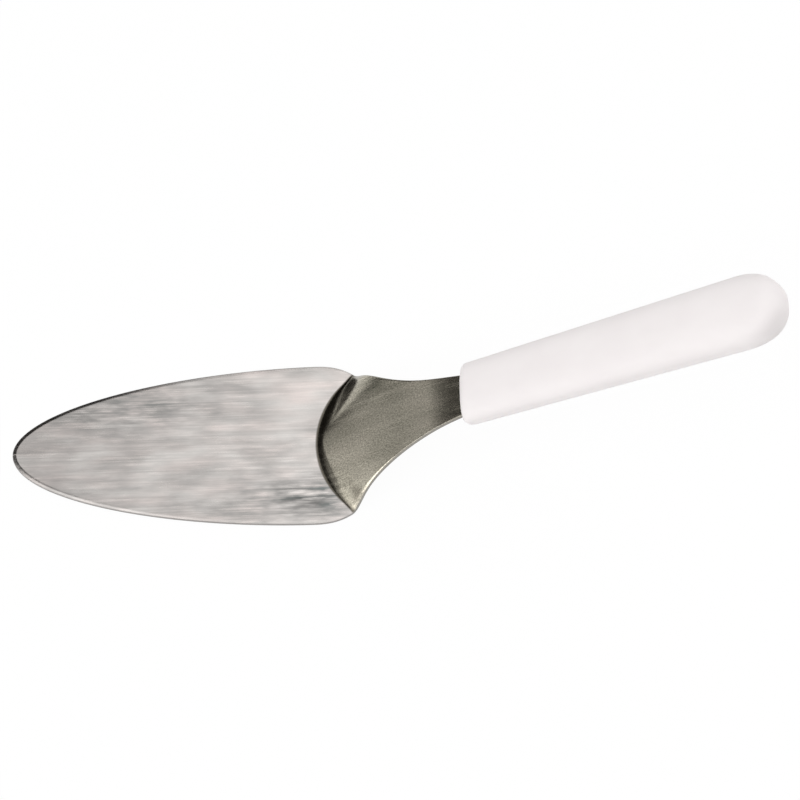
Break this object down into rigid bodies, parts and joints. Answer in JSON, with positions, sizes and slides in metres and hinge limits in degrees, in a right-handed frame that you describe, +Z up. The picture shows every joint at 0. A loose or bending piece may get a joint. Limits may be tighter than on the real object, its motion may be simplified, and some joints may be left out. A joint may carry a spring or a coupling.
{
  "type": "cake server",
  "caption": "Leaf-shaped steel blade with a pressed curved crease, a flared neck that climbs to an offset, and a smooth tapered plastic handle, for lifting slices of cake or pie.",
  "frame": {"origin": "on the surface that the blade lies on, under the middle of the server's overall length and width", "axes": "+X runs from the blade's tip to the handle's butt, +Y across the blade, +Z up from the blade's flat underside"},
  "size_m": [0.2604, 0.0596, 0.0965],
  "materials": {
    "steel": "satin brushed lengthwise, with soft mottled polish and bright eased edges",
    "white_plastic": "smooth ivory white moulding with a soft satin sheen"
  },
  "bodies": {
    "root": {"blade": "steel", "handle": "white_plastic"}
  },
  "joints": []
}
